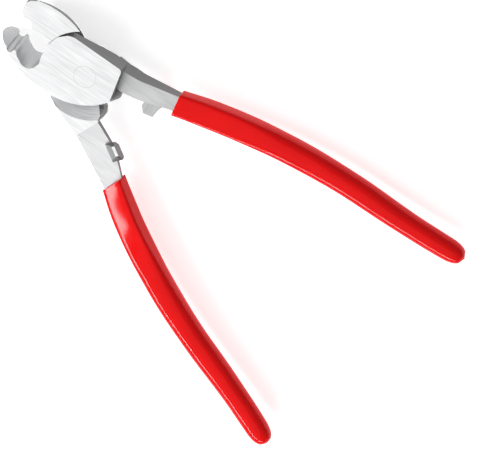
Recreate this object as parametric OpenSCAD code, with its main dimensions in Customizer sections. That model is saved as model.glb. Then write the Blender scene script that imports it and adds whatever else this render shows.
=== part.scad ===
// Hand cutter pliers with a lap joint, hooked jaws and red dipped handles.
// The tool lies flat. X runs from the jaws to the handles, Y runs across,
// Z is the thickness. The origin is on the pivot axis at the back rest face.

/* [Head] */
// Full thickness of the jaws
head_t = 20; // [16:0.5:24]
// Radius of the lap circle on the jaw side
lap_r = 23.2; // [21:0.1:25]
// Radius of the lap circle on the handle side and at the back
lap_back_r = 22; // [20:0.1:23]
// Radial gap between the levers around the lap
lap_gap = 0.2; // [0.1:0.05:0.5]
// Gap between the two lap plates
plate_gap = 0.1; // [0.05:0.01:0.3]
// Lower end of the front plate's side wall, next to the jaw
plate_low = 14.6; // [13:0.1:17]
// Radius of the hollow in the raised shoulder, level with the lap
hollow_low_r = 18.6; // [18:0.1:21]
// Radius of the hollow in the raised shoulder, at the front face
hollow_top_r = 22.6; // [22:0.1:24]
// How far the front plate steps in below its side wall
step_in = 2.6; // [1:0.1:4]
// Radius of the rear plate around the pivot, next to the front plate
boss_front_r = 13; // [11:0.5:14]
// Radius of the rear plate around the pivot, at the back face
boss_back_r = 8; // [7.5:0.5:10]

/* [Jaws] */
// Outline radius of the lower jaw
low_jaw_r = 36.9; // [34:0.1:40]
// Extra outline radius of the lower jaw at the back face
low_jaw_bevel = 5; // [2:0.5:8]
// Outline radius of the upper jaw
up_jaw_r = 38.4; // [36:0.1:41]
// Outline radius lost by the upper jaw at the back face
up_jaw_bevel = 10; // [6:0.5:11]
// Radius of the large curve of the bite
bite_r = 6.7; // [5:0.1:8]
// Radius of the small curve of the bite
bite_inner_r = 4.7; // [4:0.1:5.2]
// Radius of the wire groove near the tip
groove_r = 1.5; // [1:0.1:2]

/* [Rivet] */
// Shank radius of the pivot rivet
rivet_r = 4; // [3.5:0.1:5]
// Head radius of the pivot rivet at each face
rivet_head_r = 5.5; // [5:0.1:6.5]
// Length of each tapered rivet head
rivet_head_h = 2; // [1.5:0.1:3]
// Running clearance of the rivet in the front lever, on the radius
rivet_clear = 0.06; // [0.02:0.01:0.1]

/* [Handles] */
// Radius of the long bend of each handle
bend_r = 315; // [280:1:350]
// Radius of the outward flare at the end of each handle
flare_r = 380; // [320:1:450]
// Angle of each handle where the bend meets the flare
flare_start = 10; // [6:0.5:14]
// Angle of the flare
flare_turn = 6.3; // [4:0.1:7]
// Front face of the tang at the head, above the middle of the thickness
tang_front = 3.2; // [2:0.1:4]
// Back face of the tang at the head, below the middle of the thickness
tang_back = 6.4; // [3:0.1:7]
// Half thickness of the tang at the sleeve
tang_end = 2.5; // [2:0.1:3]
// Width of the steel core inside the sleeve
core_w = 9; // [8:0.1:10]
// Width of the sleeve
sleeve_w = 14; // [12:0.1:16]
// Thickness of the sleeve
sleeve_t = 10; // [8:0.1:12]
// Thickness of the sleeve at its mouth
mouth_t = 7.6; // [7:0.1:10]
// How much the flare of each sleeve is slimmer, on each side
tip_less = 0.6; // [0.3:0.1:1]
// Where the front sleeve starts along the tool
front_mouth_x = 40.6; // [36:0.1:46]
// Where the rear sleeve starts along the tool
rear_mouth_x = 47; // [42:0.1:52]

/* [Hidden] */
mid = head_t / 2;
bend_x = 142;
bend_y = 56.2;
handle_axis_y = -7;
bend_cx = bend_x + bend_r * sin(flare_start);
bend_cy = bend_y - bend_r * cos(flare_start);
flare_cx = bend_x - flare_r * sin(flare_start);
flare_cy = bend_y + flare_r * cos(flare_start);
tip_a = flare_start + flare_turn;
tip_x = flare_cx + flare_r * sin(tip_a);
tip_y = flare_cy - flare_r * cos(tip_a);
core_turn = flare_turn - 1.2;
plate_arc_at = [-14.3, 12.2];
plate_arc_r = 33.6;
open_turn = 5;
big = 400;
$fn = 72;

// Flat shape of the space above the lower jaw: tip face, groove, ridge and bite.
module low_mouth() {
  polygon([[-60, 30], [-60, -10.3], [-36.1, -17.9], [-32.9, -17.9], [-32.6, -16.1],
           [-31.2, -16.1], [-30.5, -13], [-20.3, -13.2], [-19.9, -12], [-10, -8], [-10, 30]]);
  translate([-34.4, -17.8]) circle(r = groove_r);
  translate([-26.2, -11.9]) circle(r = bite_r);
  translate([-24.6, -14.6]) circle(r = bite_inner_r);
}

// Flat shape of the space below the upper jaw: tip face, groove, ridge and bite.
module up_mouth() {
  polygon([[-60, -30], [-60, 30], [-40, 30], [-41.4, 11.8], [-43.6, 9.6], [-44.8, 6.9],
           [-44.6, 4.6], [-43.6, 2.4], [-40.4, -0.1], [-38.4, 1.1], [-37.1, 1.3],
           [-35.6, 0.2], [-34, -1.2], [-33, -1.4], [-31.8, -0.6], [-29.6, 0.2],
           [-28, 0.7], [-25.4, 0.5], [-23.8, -1], [-22.9, -3.3], [-20.5, -5], [-18, -9],
           [-18, -30]]);
}

// Outer limit of the lower jaw. It widens towards the back face.
module low_jaw_limit() {
  translate([-20, 14.6, 0]) cylinder(h = head_t, r1 = low_jaw_r + low_jaw_bevel, r2 = low_jaw_r);
}

// Side profile of the lower jaw with its rounded tip.
module low_jaw_profile() {
  rotate([90, 0, 0]) linear_extrude(height = 60)
    polygon([[0, -1], [0, 21], [-40.6, 21], [-42.2, 16.5], [-42.6, 12], [-41.9, 8.3],
             [-40.6, 4.6], [-38.4, 1], [-36.8, -1]]);
}

// Outer limit of the upper jaw. It narrows towards the back face.
module up_jaw_limit() {
  translate([-23.6, -21.9, 0]) cylinder(h = head_t, r1 = up_jaw_r - up_jaw_bevel, r2 = up_jaw_r);
}

// Flat outline of the front lap plate.
module front_plate_shape() {
  intersection() {
    polygon([[-30, 5.5], [-22.4, 5.5], [-19.8, 9.5], [-17.8, 11], [-16.5, 11.5], [8.8, 16.2],
             [9.9, 16], [10.6, 15.2], [16.5, -0.1], [24, -20], [10, -34], [-30, -34]]);
    circle(r = lap_r - lap_gap / 2);
    translate(plate_arc_at) circle(r = plate_arc_r);
  }
}

// Hollow of the rear lever's raised shoulder. It slopes outwards and clears the open plate.
module shoulder_hollow() {
  translate([0, 0, mid - plate_gap / 2]) {
    cylinder(h = mid + plate_gap / 2 + 0.001, r1 = hollow_low_r, r2 = hollow_top_r);
    linear_extrude(height = mid + 1) intersection() {
      circle(r = lap_back_r);
      rotate(open_turn) translate(plate_arc_at) circle(r = plate_arc_r + 0.3);
    }
  }
}

// Step under the long upper edge of the front plate. It is deepest at the jaw.
module plate_step() {
  translate([-17, 11.4 - step_in, 0]) rotate([90, 0, 10.5]) translate([0, 0, -12])
    linear_extrude(height = 12)
      polygon([[-8, 9], [-8, plate_low + 1.6], [2.5, plate_low + 0.2], [12.2, 12.2], [17.3, 10.8],
               [24, 9.5], [24.5, 9]]);
}

// Side profile that thins a tang from the head to the sleeve.
module tang_profile() {
  translate([0, 100, 0]) rotate([90, 0, 0]) linear_extrude(height = 200)
    polygon([[6, mid - tang_back], [16, mid - tang_back], [40, mid - tang_end],
             [60, mid - tang_end], [60, mid + tang_end], [40, mid + tang_end],
             [16, mid + tang_front], [6, mid + tang_front]]);
}

// Flat outline of the front lever's tang, from the head into the sleeve.
module front_tang_shape() {
  polygon([[4, 12.4], [12, 13.2], [20.1, 15.4], [39.1, 23.9], [46.9, 27.8],
           [50.8, 20.6], [41, 15.6], [35.3, 12.6], [27, 7.6], [17.7, 3.9], [4, 2]]);
}

// Flat outline of the rear lever's tang, from the head into the sleeve.
module rear_tang_shape() {
  polygon([[9, -24], [17.8, -30.2], [44.7, -40.6], [54.2, -45.4],
           [58.1, -37.4], [47.7, -30.4], [42, -26.2], [33.1, -20.8], [20.5, -16.9],
           [19.9, -12.9], [14, -12]]);
}

// Slope under the inner edge of the rear tang. It leaves a narrow side wall above.
module rear_tang_slope() {
  for (e = [[20.5, -16.9, -17.2, 24], [33.1, -20.8, -31.2, 14], [42, -26.2, -36.4, 12]])
    translate([e[0], e[1], 0]) rotate([0, 0, e[2]]) rotate([90, 0, 90])
      linear_extrude(height = e[3])
        polygon([[0, 10.2], [-5.2, 2.4], [4, 2.4], [4, 10.2]]);
}

// Sweeps a flat section along the bend of the front handle, from the flare back to angle a.
module along_bend(a) {
  translate([bend_cx, bend_cy, mid]) rotate([0, 0, 90 + flare_start])
    rotate_extrude(angle = a) translate([bend_r, 0]) children();
}

// Sweeps a flat section along the flare of the front handle through angle a.
module along_flare(a) {
  translate([flare_cx, flare_cy, mid]) rotate([0, 0, flare_start - 90])
    rotate_extrude(angle = a) translate([flare_r, 0]) children();
}

// Section of a sleeve: round sides between two flat faces. less takes some off all round.
module grip(less) {
  intersection() {
    circle(d = sleeve_w - 2 * less);
    square([sleeve_w + 2, sleeve_t - less], center = true);
  }
}

// Steel core of the front handle inside its sleeve.
module handle_core() {
  along_bend(24) square([core_w, 2 * tang_end], center = true);
  along_flare(core_turn) square([core_w, 2 * tang_end], center = true);
}

// Outside of the front handle's sleeve before its mouth is cut.
module sleeve_body() {
  along_bend(22) grip(0);
  along_flare(flare_turn) grip(tip_less);
  intersection() {
    translate([tip_x, tip_y, mid]) rotate([0, 0, tip_a]) translate([-0.5, 0, 0])
      sphere(d = sleeve_w - 2 * tip_less - 0.3);
    translate([0, 0, mid - sleeve_t / 2 + tip_less / 2 + 0.1])
      cube([big, big, sleeve_t - tip_less - 0.2]);
  }
}

// Taper of the sleeve's thickness and the cut at its mouth.
module sleeve_limit(x0) {
  translate([0, 200, 0]) rotate([90, 0, 0]) linear_extrude(height = 400)
    polygon([[x0, mid - mouth_t / 2], [x0 + 46, mid - sleeve_t / 2 - 0.1],
             [200, mid - sleeve_t / 2 - 0.1], [200, mid + sleeve_t / 2 + 0.1],
             [x0 + 46, mid + sleeve_t / 2 + 0.1], [x0, mid + mouth_t / 2]]);
}

// Sleeve on the front handle, starting at x0, with the hole for the steel core.
module sleeve(x0) {
  difference() {
    intersection() {
      sleeve_body();
      sleeve_limit(x0);
    }
    handle_core();
  }
}

// Stretch of a tang that sits in the mouth of its sleeve.
module tang_in_sleeve() {
  translate([0, 0, mid - tang_end]) linear_extrude(height = 2 * tang_end) children();
}

// Turns the front handle into the rear handle.
module to_rear() {
  translate([0, 2 * handle_axis_y, 0]) mirror([0, 1, 0]) children();
}

// Stop lug on the rear lever: a narrow flat on top and sloping sides.
module lug() {
  translate([35.6, -21.5, mid]) rotate([0, 0, -25]) intersection() {
    translate([0, 6, 0]) rotate([90, 0, 0]) linear_extrude(height = 12)
      polygon([[-1.5, 0.2], [-4.2, 3], [-4.2, 4.6], [-2.9, 6], [2.3, 6], [4.5, 3.5],
               [5.8, 2.4], [5, 0.2]]);
    translate([-6, 0, 0]) rotate([90, 0, 90]) linear_extrude(height = 13)
      polygon([[-4.2, 0.2], [2, 0.2], [2.1, 6], [0.6, 6], [-2.6, 4], [-4.2, 2]]);
  }
}

module front_lever() {
  color("#d9dadb") {
    difference() {
      union() {
        // Lower jaw, cut back around the rear plate.
        difference() {
          intersection() {
            low_jaw_limit();
            low_jaw_profile();
            translate([0, 0, -1]) linear_extrude(height = head_t + 2)
              polygon([[-60, -60], [-22, -60], [-7.2, -21], [-4, -10], [-60, -5]]);
          }
          translate([0, 0, -1]) linear_extrude(height = head_t + 2) low_mouth();
          translate([0, 0, -1]) cylinder(h = mid + plate_gap / 2 + 1, r = lap_back_r);
        }
        // Front lap plate.
        difference() {
          translate([0, 0, mid + plate_gap / 2]) linear_extrude(height = mid - plate_gap / 2)
            front_plate_shape();
          plate_step();
        }
        // Sloped shoulder at the lower corner of the plate.
        translate([14.7, -0.4, mid + plate_gap / 2])
          cylinder(h = mid - plate_gap / 2, r1 = 4.8, r2 = 1.9);
        // Tang.
        difference() {
          intersection() {
            tang_profile();
            linear_extrude(height = head_t) front_tang_shape();
          }
          translate([0, 0, -1])
            cylinder(h = mid + plate_gap / 2 + 1, r = boss_front_r + 0.4);
        }
        intersection() {
          handle_core();
          translate([44, -big / 2, 0]) cube([big, big, head_t]);
        }
        // Stop lug on the back half.
        translate([0, 0, 1]) linear_extrude(height = mid - 1)
          polygon([[29.2, 10], [29.2, 4.9], [32.3, 2.1], [36.9, 4.2], [36.5, 9.4], [37, 14]]);
      }
      // Bore for the rivet, countersunk at the front.
      translate([0, 0, mid]) cylinder(h = mid, r = rivet_r + rivet_clear);
      translate([0, 0, head_t - rivet_head_h])
        cylinder(h = rivet_head_h, r1 = rivet_r + rivet_clear, r2 = rivet_head_r + rivet_clear);
    }
  }
}

module rear_lever() {
  color("#d3d4d6") {
    difference() {
      union() {
        // Upper jaw, cut back around the front plate.
        difference() {
          intersection() {
            up_jaw_limit();
            translate([0, 0, -1]) linear_extrude(height = head_t + 2)
              polygon([[-60, 30], [-60, -30], [-19, -12], [-8, 0], [-8, 30]]);
          }
          translate([0, 0, -1]) linear_extrude(height = head_t + 2) up_mouth();
          translate([0, 0, mid - plate_gap / 2])
            cylinder(h = head_t, r = lap_r + lap_gap / 2);
          translate([0, 0, -1]) linear_extrude(height = mid + 1)
            polygon([[-26, -1.7], [-19, -1.7], [-19, -12], [-26, -12]]);
        }
        // Rear lap plate.
        cylinder(h = mid - plate_gap / 2, r1 = boss_back_r, r2 = boss_front_r);
        linear_extrude(height = mid - plate_gap / 2) intersection() {
          circle(r = lap_back_r - lap_gap);
          polygon([[-23, 4], [-6, 3], [9, -4], [13, -10], [12, -24], [-30, -24], [-23, -8]]);
        }
        translate([0, 0, 4.5]) linear_extrude(height = mid - plate_gap / 2 - 4.5)
          polygon([[0, 0], [12.6, -3], [16.5, -9.2], [20.6, -13.8], [20.5, -16.9], [18, -28],
                   [8, -24], [2, -21.7], [-6, -20]]);
        // Raised shoulder.
        difference() {
          translate([0, 0, 4.5]) linear_extrude(height = head_t - 4.5)
            polygon([[-4.8, -21.6], [17.2, -26.4], [19.9, -12.9], [18.5, -11], [0, -12]]);
          shoulder_hollow();
        }
        // Tang.
        difference() {
          intersection() {
            tang_profile();
            linear_extrude(height = head_t) rear_tang_shape();
          }
          translate([0, 0, mid - plate_gap / 2]) cylinder(h = head_t, r = lap_back_r);
          rear_tang_slope();
        }
        intersection() {
          to_rear() handle_core();
          translate([50, -big / 2, 0]) cube([big, big, head_t]);
        }
        // Stop lug on the front half.
        lug();
      }
      // Bore for the rivet, countersunk at the back.
      translate([0, 0, -1]) cylinder(h = mid + 1, r = rivet_r);
      translate([0, 0, -1]) cylinder(h = 1, r = rivet_head_r);
      cylinder(h = rivet_head_h, r1 = rivet_head_r, r2 = rivet_r);
    }
  }
}

module pivot_rivet() {
  color("#c9cacc") rotate_extrude()
    polygon([[0, 0], [rivet_head_r, 0], [rivet_r, rivet_head_h], [rivet_r, head_t - rivet_head_h],
             [rivet_head_r, head_t], [0, head_t]]);
}

module front_sleeve() {
  color("#d8121a") difference() {
    sleeve(front_mouth_x);
    tang_in_sleeve() front_tang_shape();
  }
}

module rear_sleeve() {
  color("#d8121a") difference() {
    to_rear() sleeve(rear_mouth_x);
    tang_in_sleeve() rear_tang_shape();
  }
}

front_lever();
rear_lever();
pivot_rivet();
front_sleeve();
rear_sleeve();
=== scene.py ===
"""Looks of the hand cutter with red dipped handles: brushed steel levers and glossy sleeves."""

import math

import bmesh
import bpy
from mathutils import Matrix, Vector
from mathutils.bvhtree import BVHTree


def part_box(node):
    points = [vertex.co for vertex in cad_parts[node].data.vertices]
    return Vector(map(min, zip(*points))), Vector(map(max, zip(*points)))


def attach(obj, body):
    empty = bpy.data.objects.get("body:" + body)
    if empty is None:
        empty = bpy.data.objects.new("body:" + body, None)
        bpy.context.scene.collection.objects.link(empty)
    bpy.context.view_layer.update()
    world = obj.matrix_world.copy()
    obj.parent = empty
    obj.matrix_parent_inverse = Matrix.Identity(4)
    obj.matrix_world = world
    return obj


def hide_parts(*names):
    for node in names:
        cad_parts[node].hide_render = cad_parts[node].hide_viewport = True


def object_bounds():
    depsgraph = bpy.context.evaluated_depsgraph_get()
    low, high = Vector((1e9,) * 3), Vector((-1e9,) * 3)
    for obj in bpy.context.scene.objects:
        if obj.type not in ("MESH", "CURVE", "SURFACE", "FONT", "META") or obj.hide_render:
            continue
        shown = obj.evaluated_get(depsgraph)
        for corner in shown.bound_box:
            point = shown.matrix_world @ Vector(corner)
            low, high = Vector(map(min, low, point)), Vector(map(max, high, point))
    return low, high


MM = 0.001

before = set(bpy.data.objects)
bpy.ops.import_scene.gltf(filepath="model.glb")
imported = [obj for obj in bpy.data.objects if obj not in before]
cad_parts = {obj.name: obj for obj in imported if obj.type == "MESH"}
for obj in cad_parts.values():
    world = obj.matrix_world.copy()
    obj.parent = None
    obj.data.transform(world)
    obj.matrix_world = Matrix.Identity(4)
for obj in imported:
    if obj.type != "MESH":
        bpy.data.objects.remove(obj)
cad_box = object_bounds()


# ---------------------------------------------------------------- node helpers

class Nodes:
    """Short calls for building a material's node tree."""

    def __init__(self, name):
        self.material = bpy.data.materials.new(name)
        self.material.use_nodes = True
        self.tree = self.material.node_tree
        self.shader = self.tree.nodes["Principled BSDF"]

    def add(self, kind, **settings):
        node = self.tree.nodes.new(kind)
        for key, value in settings.items():
            setattr(node, key, value)
        return node

    def link(self, source, target):
        self.tree.links.new(source, target)

    def put(self, socket, value):
        """Sets a socket to a number, or links it when the value is an output."""
        if isinstance(value, bpy.types.NodeSocket):
            self.link(value, socket)
        else:
            socket.default_value = value

    def math(self, operation, a, b=0.0):
        node = self.add("ShaderNodeMath", operation=operation)
        self.put(node.inputs[0], a)
        self.put(node.inputs[1], b)
        return node.outputs[0]

    def times(self, a, b):
        return self.math("MULTIPLY", a, b)

    def plus(self, a, b):
        return self.math("ADD", a, b)

    def size(self, a):
        """The value without its sign."""
        return self.math("ABSOLUTE", a)

    def rest(self, a):
        """What the value leaves of one."""
        return self.math("SUBTRACT", 1.0, a)

    def ramp(self, value, low, high, to_low=0.0, to_high=1.0):
        """Eases value from low..high to to_low..to_high, and holds it outside."""
        node = self.add("ShaderNodeMapRange", clamp=True, interpolation_type="SMOOTHSTEP")
        for socket, number in zip(node.inputs, (value, low, high, to_low, to_high)):
            self.put(socket, number)
        return node.outputs[0]

    def mix(self, factor, a, b):
        """A colour between a and b."""
        node = self.add("ShaderNodeMix", data_type="RGBA")
        self.put(node.inputs[0], factor)
        self.put(node.inputs[6], a)
        self.put(node.inputs[7], b)
        return node.outputs[2]

    def mix_value(self, factor, a, b):
        """A number between a and b."""
        node = self.add("ShaderNodeMix", data_type="FLOAT")
        self.put(node.inputs[0], factor)
        self.put(node.inputs[2], a)
        self.put(node.inputs[3], b)
        return node.outputs[0]

    def split(self, vector):
        """x, y and z of a vector."""
        node = self.add("ShaderNodeSeparateXYZ")
        self.link(vector, node.inputs[0])
        return node.outputs

    def coords(self):
        """The object's own coordinates in metres."""
        return self.add("ShaderNodeTexCoord").outputs["Object"]

    def normal(self):
        """x, y and z of the surface normal in the object's own axes."""
        return self.split(self.add("ShaderNodeTexCoord").outputs["Normal"])

    def noise(self, vector, scale, detail, rough=0.5):
        node = self.add("ShaderNodeTexNoise")
        self.link(vector, node.inputs["Vector"])
        node.inputs["Scale"].default_value = scale
        node.inputs["Detail"].default_value = detail
        node.inputs["Roughness"].default_value = rough
        return node.outputs["Fac"]

    def stretched(self, vector, angle, along, across):
        """Coordinates turned by angle about Z, then scaled along and across that direction."""
        turn = self.add("ShaderNodeMapping", vector_type="POINT")
        self.link(vector, turn.inputs["Vector"])
        turn.inputs["Rotation"].default_value = (0, 0, -angle)
        size = self.add("ShaderNodeMapping", vector_type="POINT")
        self.link(turn.outputs[0], size.inputs["Vector"])
        size.inputs["Scale"].default_value = (along, across, across)
        return size.outputs[0]

    def bump(self, height, strength, distance):
        node = self.add("ShaderNodeBump")
        self.link(height, node.inputs["Height"])
        node.inputs["Strength"].default_value = strength
        node.inputs["Distance"].default_value = distance
        self.link(node.outputs[0], self.shader.inputs["Normal"])


# ------------------------------------------------------------------- materials

# Where the steel's finishes are, as heights and radii round the pivot.
HEAD_FACE = 14.2 * MM       # flat faces above this height are ground
BACK_FACE = 0.6 * MM        # and so are those below this one
TANG_FACE = 12.2 * MM       # flat faces from there up to this one have a grey of their own, with round lines
LAP_R = 21.0 * MM           # middle radius of the turned lap walls
LAP_BAND = 3.2 * MM         # how far they reach from it to either side
PASSING = 0.3 * MM          # length over which one finish passes into the next
MOUTH_RIGHT = -19 * MM      # the walls of the jaws' mouth lie left of this x
MOUTH_LOW = -23 * MM        # and between these two y
MOUTH_HIGH = 5 * MM

# Which way a surface faces: the part of the normal at which it starts to count, and at which it
# counts in full.
FLAT = (0.93, 0.98)         # up or down
SLANT = (0.33, 0.42)        # up or down, on a sloping wall
INWARD = (0.70, 0.85)       # towards the pivot
DOWNWARD = (0.0, -0.35)     # towards -Y
HANDLEWARD = (0.45, 0.75)   # towards +X
UPWARD = (0.25, 0.75)       # towards +Y

# Greys of the walls that are alike on all the steel. The first three stand in for light and
# shade: painted light on steep walls facing -Y, painted shade on slopes facing +X, and painted
# light on the walls of the jaws' mouth.
LIT_STEEP_WALL = 0.92
END_SLOPE_SHADE = 0.10
MOUTH_WALL_LIGHT = 0.62
LAP_WALL = 0.98

GRAIN_ANGLE = math.radians(10.5)    # along the front plate's long upper edge
GRAIN_SCALE = (55.0, 1500.0)        # along the grain and across it, per metre
BROAD_SCALE = (25.0, 330.0)
RING_SCALE = 1500.0                 # across the turned lines, per metre
RING_TURN_SCALE = 1.5               # along them, per radian
MOTTLE_SCALE = 700.0
STEEL_BUMP = (0.2, 0.03 * MM)       # strength and height

# What each noise does: its own range, then the range it gives.
GRAIN_TONE = (0.34, 0.66, -0.06, 0.05)
BROAD_TONE = (0.38, 0.62, -0.03, 0.02)
MOTTLE_TONE = (0.3, 0.7, -0.08, 0.06)
RING_TONE = (0.32, 0.68, -0.16, 0.10)
GRAIN_ROUGHNESS = (0.3, 0.7, 0.34, 0.46)
MOTTLE_ROUGHNESS = (0.3, 0.7, 0.48, 0.60)
TURNED_ROUGHNESS = 0.75
TURNED_METAL = 0.3

RED_DEEP = (0.92, 0.0006, 0.001, 1)
RED_BRIGHT = (0.97, 0.0008, 0.0015, 1)
# painted shade for the sides facing +Y
RED_SHADED_SIDE = (0.74, 0.0003, 0.0006, 1)
CLOUD_SCALE = 60.0
CLOUD_RANGE = (0.35, 0.65)
CLOUD_ROUGHNESS = (0.3, 0.7, 0.07, 0.11)
PEEL_SCALE = 420.0
PEEL_BUMP = (0.06, 0.05 * MM)
VINYL_SPECULAR = 0.24

FLOOR_WHITE = 0.97
FLOOR_ROUGHNESS = 0.9
FLOOR_GLOW = 0.62


def grey(value):
    """A very slightly cool grey."""
    return (value, value * 1.005, value * 1.012, 1)


def steel(name, ground, tang, deep_face, wall, under):
    """Bare steel: ground flat faces with a straight grain, duller tangs, turned lap walls
    with round grind lines, and outer walls with painted light and shade by the way they face:
    painted shade where they face +Y, on edges facing -Y and on slopes facing +X, and painted
    light on steep walls facing -Y and on the walls of the jaws' mouth."""
    n = Nodes(name)
    here = n.coords()
    x, y, z = n.split(here)
    nx, ny, nz = n.normal()
    radius = n.math("SQRT", n.plus(n.times(x, x), n.times(y, y)))

    # Each kind of surface, as 0 or 1 with a soft passage.
    flat = n.ramp(n.size(nz), *FLAT)
    slant = n.ramp(n.size(nz), *SLANT)
    front = n.ramp(z, HEAD_FACE - PASSING, HEAD_FACE)
    back = n.ramp(z, BACK_FACE + PASSING, BACK_FACE)
    head = n.math("MAXIMUM", front, back)
    low = n.ramp(z, TANG_FACE, TANG_FACE - PASSING)
    outward = n.plus(n.times(nx, x), n.times(ny, y))
    inward = n.math("DIVIDE", outward, n.times(radius, -1.0))
    off_lap = n.size(n.math("SUBTRACT", radius, LAP_R))
    lap = n.times(n.ramp(inward, *INWARD), n.ramp(off_lap, LAP_BAND, LAP_BAND - PASSING))
    turned = n.times(lap, n.rest(flat))
    in_height = n.times(n.math("GREATER_THAN", y, MOUTH_LOW), n.math("LESS_THAN", y, MOUTH_HIGH))
    mouth = n.times(n.math("LESS_THAN", x, MOUTH_RIGHT), in_height)

    grain = n.noise(n.stretched(here, GRAIN_ANGLE, *GRAIN_SCALE), 1.0, detail=5.0, rough=0.65)
    broad = n.noise(n.stretched(here, GRAIN_ANGLE, *BROAD_SCALE), 1.0, detail=3.0)
    ring_place = n.add("ShaderNodeCombineXYZ")
    n.put(ring_place.inputs[0], n.times(radius, RING_SCALE))
    n.put(ring_place.inputs[1], n.times(n.math("ARCTAN2", y, x), RING_TURN_SCALE))
    n.put(ring_place.inputs[2], n.times(z, RING_SCALE))
    rings = n.noise(ring_place.outputs[0], 1.0, detail=4.0, rough=0.6)
    mottle = n.noise(here, MOTTLE_SCALE, detail=4.0, rough=0.6)

    face = n.mix(head, grey(tang), grey(ground))
    face = n.mix(n.times(low, n.rest(head)), face, grey(deep_face))
    # Walls get painted light and shade by the way they face: painted shade where they face +Y and on
    # edges facing -Y, painted light on steep walls facing -Y. The lap walls keep their turned
    # finish.
    down_side_shading = n.mix(slant, grey(LIT_STEEP_WALL), grey(under))
    side_shading_and_finish = n.mix(n.ramp(ny, *DOWNWARD), grey(wall), down_side_shading)
    # Painted shade: slopes facing +X, as at the step down to the tang, are made almost black.
    side_shading_and_finish = n.mix(n.times(slant, n.ramp(nx, *HANDLEWARD)), side_shading_and_finish, grey(END_SLOPE_SHADE))
    # Painted light: the walls of the jaws' mouth are made lighter than the other walls.
    side_shading_and_finish = n.mix(mouth, side_shading_and_finish, grey(MOUTH_WALL_LIGHT))
    side_shading_and_finish = n.mix(lap, side_shading_and_finish, grey(LAP_WALL))
    tone = n.mix(flat, side_shading_and_finish, face)

    face_wear = n.plus(n.ramp(grain, *GRAIN_TONE), n.ramp(broad, *BROAD_TONE))
    wear = n.mix_value(flat, n.ramp(mottle, *MOTTLE_TONE), face_wear)
    ringed = n.math("MAXIMUM", turned, n.times(low, flat))
    wear = n.mix_value(ringed, wear, n.ramp(rings, *RING_TONE))
    scale = n.add("ShaderNodeVectorMath", operation="SCALE")
    n.link(tone, scale.inputs[0])
    n.link(n.plus(1.0, wear), scale.inputs["Scale"])
    n.link(scale.outputs[0], n.shader.inputs["Base Color"])

    side_rough = n.mix_value(turned, n.ramp(mottle, *MOTTLE_ROUGHNESS), TURNED_ROUGHNESS)
    rough = n.mix_value(flat, side_rough, n.ramp(grain, *GRAIN_ROUGHNESS))
    n.put(n.shader.inputs["Roughness"], rough)
    n.put(n.shader.inputs["Metallic"], n.mix_value(turned, 1.0, TURNED_METAL))
    n.bump(n.mix_value(flat, mottle, grain), *STEEL_BUMP)
    return n.material


def vinyl(name):
    """Glossy dipped vinyl: red with a faint orange peel, and painted shade: darker where it faces
    +Y.
    """
    n = Nodes(name)
    here = n.coords()
    facing = n.normal()
    cloud = n.noise(here, CLOUD_SCALE, detail=2.0)
    peel = n.noise(here, PEEL_SCALE, detail=2.0)
    red = n.mix(n.ramp(cloud, *CLOUD_RANGE), RED_DEEP, RED_BRIGHT)
    # Painted shade: a darker red where the sleeve faces +Y.
    red = n.mix(n.ramp(facing[1], *UPWARD), red, RED_SHADED_SIDE)
    n.put(n.shader.inputs["Base Color"], red)
    n.put(n.shader.inputs["Roughness"], n.ramp(cloud, *CLOUD_ROUGHNESS))
    n.shader.inputs["Specular IOR Level"].default_value = VINYL_SPECULAR
    n.bump(peel, *PEEL_BUMP)
    return n.material


def plain_floor(name):
    """A pale floor that glows a little, so that no part of it looks grey."""
    n = Nodes(name)
    n.shader.inputs["Base Color"].default_value = (FLOOR_WHITE, FLOOR_WHITE, FLOOR_WHITE, 1)
    n.shader.inputs["Roughness"].default_value = FLOOR_ROUGHNESS
    n.shader.inputs["Emission Color"].default_value = (1, 1, 1, 1)
    n.shader.inputs["Emission Strength"].default_value = FLOOR_GLOW
    return n.material


# --------------------------------------------------------------- steel levers

EDGE_ROUND = 0.12 * MM
WELD_REACH = 0.002 * MM             # corners closer than this are joined
SHARP_EDGE = math.radians(28)       # edges that bend more than this are rounded


def finish_node(node, material, edge=EDGE_ROUND):
    """Gives a CAD node its material and softly rounded edges."""
    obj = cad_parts[node]
    obj.data.materials.clear()
    obj.data.materials.append(material)
    weld = obj.modifiers.new("join_faces", "WELD")
    weld.merge_threshold = WELD_REACH
    if edge:
        bevel = obj.modifiers.new("soft_edges", "BEVEL")
        bevel.width = edge
        bevel.segments = 2
        bevel.limit_method = "ANGLE"
        bevel.angle_limit = SHARP_EDGE
        bevel.harden_normals = False


# In these calls, wall is painted shade on walls facing +Y, and under is painted shade on edges
# facing -Y.
front_steel = steel("front_lever_steel", ground=0.88, tang=0.60, deep_face=0.56, wall=0.22, under=0.03)
rear_steel = steel("rear_lever_steel", ground=0.88, tang=0.76, deep_face=0.62, wall=0.22, under=0.30)
finish_node("front_lever", front_steel)
finish_node("rear_lever", rear_steel)
finish_node("pivot_rivet", front_steel, edge=0)


# -------------------------------------------------------------- dipped sleeves

# The middle line, measured on a CAD sleeve.
LINE_STEPS = 60             # how many steps are measured
RAY_REACH = 20 * MM         # how far beside the sleeve the rays start
MOUTH_INSET = 0.3 * MM      # where the measuring starts, from the mouth
END_INSET = 9 * MM          # where it stops, from the far end
TAIL_STEP = 1 * MM          # from there the line runs on straight, in these steps
TAIL_MARGIN = 0.8 * MM      # where those stop, from the far end
TIP_INSET = 0.25 * MM       # where the line ends, from the far end
MOUTH_AHEAD = 0.9 * MM      # how far the line is drawn out past its start at the mouth
RING_SPACING = 1.5 * MM
SMOOTHINGS = 40             # how often its unevenness is averaged away

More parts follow.
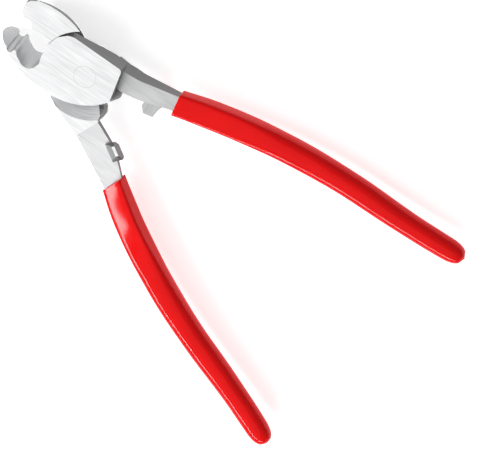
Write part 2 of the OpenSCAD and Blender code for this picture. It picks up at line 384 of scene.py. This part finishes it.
# The rings round that line.
RING_POINTS = 64
MOUTH_STRETCH = 13 * MM     # length over which the rings turn square to the handle
ROLL_HOLD = 20 * MM         # length of sleeve with the full roll of its mouth
ROLL_LENGTH = 45 * MM       # length over which the roll then fades out
LEAST_SQUARE = 0.3          # holds back how much a leaning ring is widened
TIP_LENGTH = 10 * MM        # length of the blunt round end
TIP_POWER = 2.4             # how the end rounds off, where 2 is a quarter circle
TIP_THICK_POWER = 0.8       # below 1, the end keeps more of its thickness than of its width
LEAST_TIP = 0.02            # share of the width and thickness that stays at the very end

# Along the sleeve, from 0 at the mouth to 1 at the end: its width and thickness in mm, and how
# square its rings are, where 2 is an oval.
WIDTH = [(0.0, 12.4), (0.12, 13.3), (0.35, 13.8), (0.62, 13.2), (0.85, 12.0), (1.0, 11.4)]
THICK = [(0.0, 7.5), (0.15, 8.6), (0.4, 9.8), (0.7, 9.6), (0.9, 9.0), (1.0, 8.6)]
SQUARE = [(0.0, 6.5), (0.16, 5.5), (0.36, 2.9), (0.6, 2.4), (1.0, 2.2)]
# Rings from inside the mouth round its rim: how far in, and how much smaller, in mm.
MOUTH_RINGS = [(1.4, 1.3), (0.2, 1.2), (0.0, 0.75), (0.0, 0.45), (0.12, 0.18), (0.4, 0.0)]

# Each sleeve's mouth: how far its edge leans back towards -X for each length in Y, how far its
# flat rises for each length in Y, and its shift towards +Y, which fades out over ROLL_HOLD.
MOUTHS = [("front", 0.34, 0.0, 0.0), ("rear", -0.16, 0.235, 0.7 * MM)]


def ease(f):
    """From 0 to 1 with a soft start and a soft stop."""
    return f * f * (3 - 2 * f)


def middle_y(tree, x, low, high, z):
    """The y halfway through the CAD sleeve at x and height z."""
    up = tree.ray_cast(Vector((x, low, z)), Vector((0, 1, 0)))[0]
    down = tree.ray_cast(Vector((x, high, z)), Vector((0, -1, 0)))[0]
    return (up.y + down.y) / 2


def centre_line(node):
    """Points down the middle of a CAD sleeve, from its mouth to its end."""
    tree = BVHTree.FromObject(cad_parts[node], bpy.context.evaluated_depsgraph_get())
    lo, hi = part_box(node)
    z = (lo.z + hi.z) / 2
    start, end = lo.x + MOUTH_INSET, hi.x - END_INSET
    points = []
    for i in range(LINE_STEPS + 1):
        x = start + (end - start) * i / LINE_STEPS
        points.append(Vector((x, middle_y(tree, x, lo.y - RAY_REACH, hi.y + RAY_REACH, z), z)))
    tail = (points[-1] - points[-6]).normalized()
    while points[-1].x + tail.x * TAIL_STEP < hi.x - TAIL_MARGIN:
        points.append(points[-1] + tail * TAIL_STEP)
    points.append(points[-1] + tail * (hi.x - TIP_INSET - points[-1].x) / tail.x)
    return points


def resample(points, spacing):
    """The same line with evenly spaced points."""
    lengths = [0.0]
    for a, b in zip(points, points[1:]):
        lengths.append(lengths[-1] + (b - a).length)
    count = max(2, round(lengths[-1] / spacing))
    out, k = [], 0
    for i in range(count + 1):
        s = lengths[-1] * i / count
        while k < len(points) - 2 and lengths[k + 1] < s:
            k += 1
        t = (s - lengths[k]) / (lengths[k + 1] - lengths[k])
        out.append(points[k].lerp(points[k + 1], t))
    return out


def smoothed(points, times):
    """The same line with its small unevenness averaged away. Both ends stay."""
    for _ in range(times):
        inner = [here * 0.5 + (before + after) * 0.25
                 for before, here, after in zip(points, points[1:], points[2:])]
        points = [points[0]] + inner + [points[-1]]
    return points


def blend_table(table, t):
    """Smoothly interpolated value of a table of (place, value) rows."""
    for (a, va), (b, vb) in zip(table, table[1:]):
        if t <= b:
            return va + (vb - va) * ease((t - a) / (b - a))
    return table[-1][1]


def superellipse(angle, power):
    """A point of a rounded square. Power 2 gives a circle, and more gives squarer corners."""
    c, s = math.cos(angle), math.sin(angle)
    return math.copysign(abs(c) ** (2 / power), c), math.copysign(abs(s) ** (2 / power), s)


def ring(centre, along, leaning, turn, rolled, half_w, half_t, power):
    """The points of one closed ring. turn is 1 where the ring leans with the mouth."""
    square = Vector((-along.y, along.x, 0))
    side = square.lerp(leaning, turn).normalized()
    half_w /= max(side.dot(square), LEAST_SQUARE)
    side = (side + Vector((0, 0, rolled))).normalized()
    thick = Vector((0, 0, 1)) - side * side.z
    points = []
    for i in range(RING_POINTS):
        u, w = superellipse(2 * math.pi * i / RING_POINTS, power)
        points.append(centre + side * half_w * u + thick * half_t * w)
    return points


def tip_shares(left):
    """The shares of width and thickness that the blunt end keeps, with this much of it left."""
    if left >= 1:
        return 1, 1
    share = max(1 - (1 - left) ** TIP_POWER, 0) ** (1 / TIP_POWER)
    return max(share, LEAST_TIP), max(share ** TIP_THICK_POWER, LEAST_TIP)


def sleeve_rings(node, lean, roll, shift):
    """The rings of a dipped sleeve, from inside its mouth to its blunt end."""
    line = centre_line(node)
    line.insert(0, line[0] - (line[1] - line[0]).normalized() * MOUTH_AHEAD)
    line = smoothed(resample(line, RING_SPACING), SMOOTHINGS)
    total = sum((b - a).length for a, b in zip(line, line[1:]))
    leaning = Vector((-lean, 1, 0)).normalized()
    rings = []
    travelled = 0.0
    for i, centre in enumerate(line):
        if i:
            travelled += (centre - line[i - 1]).length
        along = (line[min(i + 1, len(line) - 1)] - line[max(i - 1, 0)]).normalized()
        t = travelled / total
        keep_w, keep_t = tip_shares((total - travelled) / TIP_LENGTH)
        half_w = blend_table(WIDTH, t) * MM / 2 * keep_w
        half_t = blend_table(THICK, t) * MM / 2 * keep_t
        power = blend_table(SQUARE, t)
        turn = ease(max(1 - travelled / MOUTH_STRETCH, 0))
        rolled = roll * min(max(1 - (travelled - ROLL_HOLD) / ROLL_LENGTH, 0), 1)
        centre = centre + Vector((0, shift * max(1 - travelled / ROLL_HOLD, 0), 0))
        rim = MOUTH_RINGS if i == 0 else [(0.0, 0.0)]
        for ahead, less in rim:
            rings.append(ring(centre + along * ahead * MM, along, leaning, turn, rolled,
                              half_w - less * MM, half_t - less * MM, power))
    return rings


def skinned(name, rings):
    """A closed object through the rings, with a cap at each end."""
    bm = bmesh.new()
    loops = [[bm.verts.new(point) for point in points] for points in rings]
    for first, second in zip(loops, loops[1:]):
        for i in range(RING_POINTS):
            j = (i + 1) % RING_POINTS
            bm.faces.new((first[i], first[j], second[j], second[i]))
    bm.faces.new(loops[-1])
    bm.faces.new(list(reversed(loops[0])))
    bmesh.ops.recalc_face_normals(bm, faces=bm.faces)
    for face in bm.faces:
        face.smooth = True
    mesh = bpy.data.meshes.new(name)
    bm.to_mesh(mesh)
    bm.free()
    obj = bpy.data.objects.new(name, mesh)
    bpy.context.scene.collection.objects.link(obj)
    return obj


red_vinyl = vinyl("dipped_vinyl")
for side, lean, roll, shift in MOUTHS:
    sleeve = skinned(side + "_grip", sleeve_rings(side + "_sleeve", lean, roll, shift))
    sleeve.data.materials.append(red_vinyl)
    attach(sleeve, side)
    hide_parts(side + "_sleeve")


# --------------------------------------------------------------- stage, lights

FLOOR_HALF = 3.0            # half the floor's side, in metres
FLOOR_DROP = 0.2 * MM       # how far the floor lies under the tool
WORLD_LIGHT = 0.34
MID_HEIGHT = 10 * MM        # half the thickness of the tool's head

corners = [(-FLOOR_HALF, -FLOOR_HALF, 0), (FLOOR_HALF, -FLOOR_HALF, 0),
           (FLOOR_HALF, FLOOR_HALF, 0), (-FLOOR_HALF, FLOOR_HALF, 0)]
floor = bpy.data.objects.new("floor", bpy.data.meshes.new("floor"))
floor.data.from_pydata(corners, [], [(0, 1, 2, 3)])
floor.location.z = cad_box[0].z - FLOOR_DROP
floor.data.materials.append(plain_floor("pale_floor"))
bpy.context.scene.collection.objects.link(floor)

world = bpy.context.scene.world or bpy.data.worlds.new("studio")
bpy.context.scene.world = world
world.use_nodes = True
background = world.node_tree.nodes["Background"]
background.inputs["Color"].default_value = (1, 1, 1, 1)
background.inputs["Strength"].default_value = WORLD_LIGHT
bpy.context.scene.view_settings.view_transform = "Standard"

low_corner, high_corner = cad_box
middle = Vector(((low_corner.x + high_corner.x) / 2, (low_corner.y + high_corner.y) / 2, MID_HEIGHT))


def soft_light(name, direction, distance, size, size_y, watts):
    """A soft rectangular light that points at the middle of the tool."""
    data = bpy.data.lights.new(name, "AREA")
    data.shape = "RECTANGLE"
    data.size = size
    data.size_y = size_y
    data.energy = watts
    light = bpy.data.objects.new(name, data)
    way = Vector(direction).normalized()
    light.location = middle + way * distance
    light.rotation_mode = "QUATERNION"
    light.rotation_quaternion = (-way).to_track_quat("-Z", "Y")
    bpy.context.scene.collection.objects.link(light)


# Sizes and distances are in metres. The strip draws the pale lines along the sleeves.
soft_light("panel", (0.076, -0.40, 0.90), distance=1.7, size=1.3, size_y=1.3, watts=1.6)
soft_light("key", (-0.75, -0.30, 0.60), distance=1.6, size=0.5, size_y=0.5, watts=5)
soft_light("strip", (0.05, -0.83, 0.56), distance=1.7, size=3.0, size_y=0.18, watts=27)


# ---------------------------------------------------------------------- camera

# The camera's own axes in the tool's frame: to its right, up, and back towards the viewer.
RIGHT = Vector((0.716, 0.631, -0.297)).normalized()
BACK = Vector((-0.076, 0.494, 0.866)).normalized()
UP = BACK.cross(RIGHT).normalized()
RIGHT = UP.cross(BACK).normalized()
AIM = Vector((104.1, -5.7, 10.0)) * MM + UP * 0.35 * MM    # shown at the picture's middle
VIEW_WIDTH = 229.05 * MM                                   # what the picture's width takes in
LENS, SENSOR = 1000.0, 36.0                                # in mm
CLIP_START, CLIP_END = 1.0, 60.0                           # in metres
CAMERA_DISTANCE = VIEW_WIDTH * LENS / SENSOR

camera_data = bpy.data.cameras.new("camera")
camera_data.lens = LENS
camera_data.sensor_width = SENSOR
camera_data.clip_start = CLIP_START
camera_data.clip_end = CLIP_END
camera = bpy.data.objects.new("camera", camera_data)
camera.matrix_world = (Matrix.Translation(AIM + BACK * CAMERA_DISTANCE)
                       @ Matrix((RIGHT, UP, BACK)).transposed().to_4x4())
bpy.context.scene.collection.objects.link(camera)
bpy.context.scene.camera = camera
